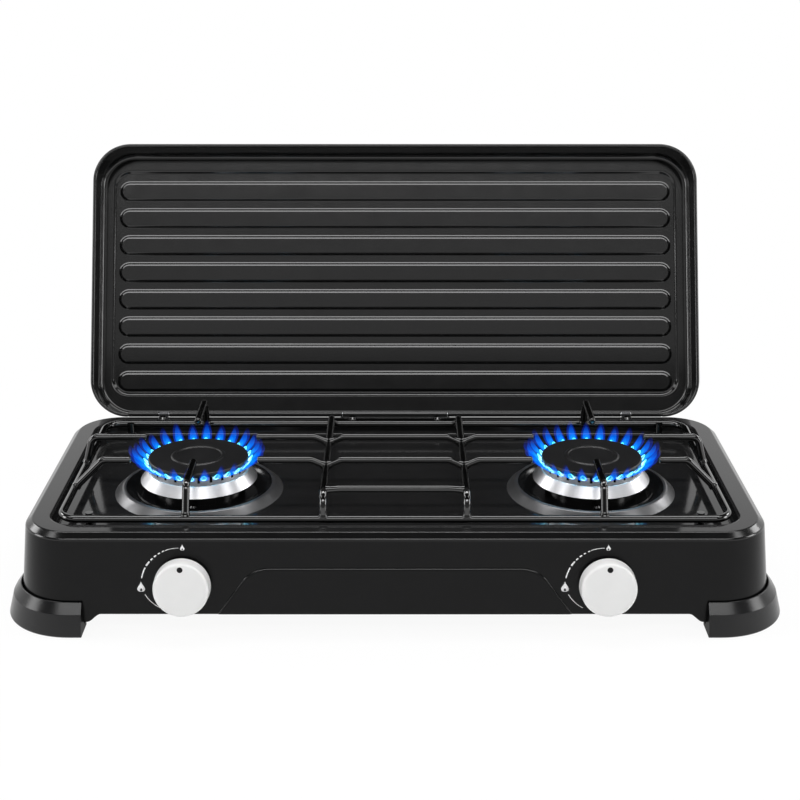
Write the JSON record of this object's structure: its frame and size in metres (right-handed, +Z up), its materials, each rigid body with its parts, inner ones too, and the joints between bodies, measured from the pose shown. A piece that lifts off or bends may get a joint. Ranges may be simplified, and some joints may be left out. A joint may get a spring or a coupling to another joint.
{
  "type": "two-burner gas stove",
  "caption": "Tabletop gas stove with open flame burners, a wire pan grate, front control knobs, corner feet and a ribbed hinged lid.",
  "frame": {"origin": "on the table plane, under the middle of the body's rim", "axes": "+X to the right seen from the knobs, +Y to the hinge at the back, +Z up from the table"},
  "size_m": [0.6002, 0.4054, 0.3068],
  "materials": {
    "enamel": "gloss",
    "lid_paint": "satin",
    "wire_enamel": "satin",
    "foot_plastic": "satin",
    "steel": "satin",
    "polished": "polished",
    "aluminium": "satin",
    "brass": "satin",
    "knob_white": "gloss",
    "rubber": "matte"
  },
  "bodies": {
    "base": {"body_shell": "enamel", "foot_front_left": "foot_plastic", "foot_front_right": "foot_plastic", "foot_rear_left": "foot_plastic", "foot_rear_right": "foot_plastic", "hinge_rod": "steel", "hinge_clips": "wire_enamel", "hinge_bracket": "wire_enamel", "hinge_screws": "wire_enamel", "burner_cup_left": "enamel", "burner_cup_right": "enamel", "mixing_tube_left": "steel", "mixing_tube_right": "steel", "burner_collar_left": "polished", "burner_collar_right": "polished", "burner_head_left": "aluminium", "burner_head_right": "aluminium", "burner_screws": "steel", "tap_body_left": "brass", "tap_body_right": "brass", "tap_bonnet_left": "steel", "tap_bonnet_right": "steel", "tap_screws": "steel", "injector_left": "brass", "injector_right": "brass", "gas_pipe": "steel", "pipe_cap": "steel", "gas_inlet": "brass", "inlet_nut": "steel"},
    "lid": {"lid": "lid_paint"},
    "grate": {"grate_frame": "wire_enamel", "grate_bar_left": "wire_enamel", "grate_bar_right": "wire_enamel", "grate_rungs": "wire_enamel", "grate_fingers_left": "wire_enamel", "grate_fingers_right": "wire_enamel", "grate_legs": "wire_enamel", "grate_tips": "rubber"},
    "cap_left": {"burner_cap_left": "enamel"},
    "cap_right": {"burner_cap_right": "enamel"},
    "plug_left": {"tap_plug_left": "brass", "tap_spring_left": "steel"},
    "plug_right": {"tap_plug_right": "brass", "tap_spring_right": "steel"},
    "knob_left": {"knob_left": "knob_white", "tap_spindle_left": "steel"},
    "knob_right": {"knob_right": "knob_white", "tap_spindle_right": "steel"}
  },
  "joints": [
    {"name": "lid_hinge", "type": "hinge", "parent": "base", "child": "lid", "pos_m": [0, 0.1295, 0.0795], "axis": [-1, 0, 0], "range_deg": [-113, 0]},
    {"name": "grate_lift", "type": "slide", "parent": "base", "child": "grate", "axis": [0, 0, 1], "range_m": [0, 0.06]},
    {"name": "cap_left_lift", "type": "slide", "parent": "base", "child": "cap_left", "axis": [0, 0, 1], "range_m": [0, 0.0022]},
    {"name": "cap_right_lift", "type": "slide", "parent": "base", "child": "cap_right", "axis": [0, 0, 1], "range_m": [0, 0.0022]},
    {"name": "tap_left_turn", "type": "hinge", "parent": "base", "child": "plug_left", "pos_m": [-0.159, -0.13608, 0.0387], "axis": [0, -0.9945, 0.1045], "range_deg": [0, 150]},
    {"name": "tap_right_turn", "type": "hinge", "parent": "base", "child": "plug_right", "pos_m": [0.159, -0.13608, 0.0387], "axis": [0, -0.9945, 0.1045], "range_deg": [0, 150]},
    {"name": "knob_left_push", "type": "slide", "parent": "plug_left", "child": "knob_left", "axis": [0, 0.9945, -0.1045], "range_m": [0, 0.0025], "stiffness_N_per_m": 1200, "springref_m": -0.003, "deforming": ["tap_spring_left"]},
    {"name": "knob_right_push", "type": "slide", "parent": "plug_right", "child": "knob_right", "axis": [0, 0.9945, -0.1045], "range_m": [0, 0.0025], "stiffness_N_per_m": 1200, "springref_m": -0.003, "deforming": ["tap_spring_right"]}
  ]
}
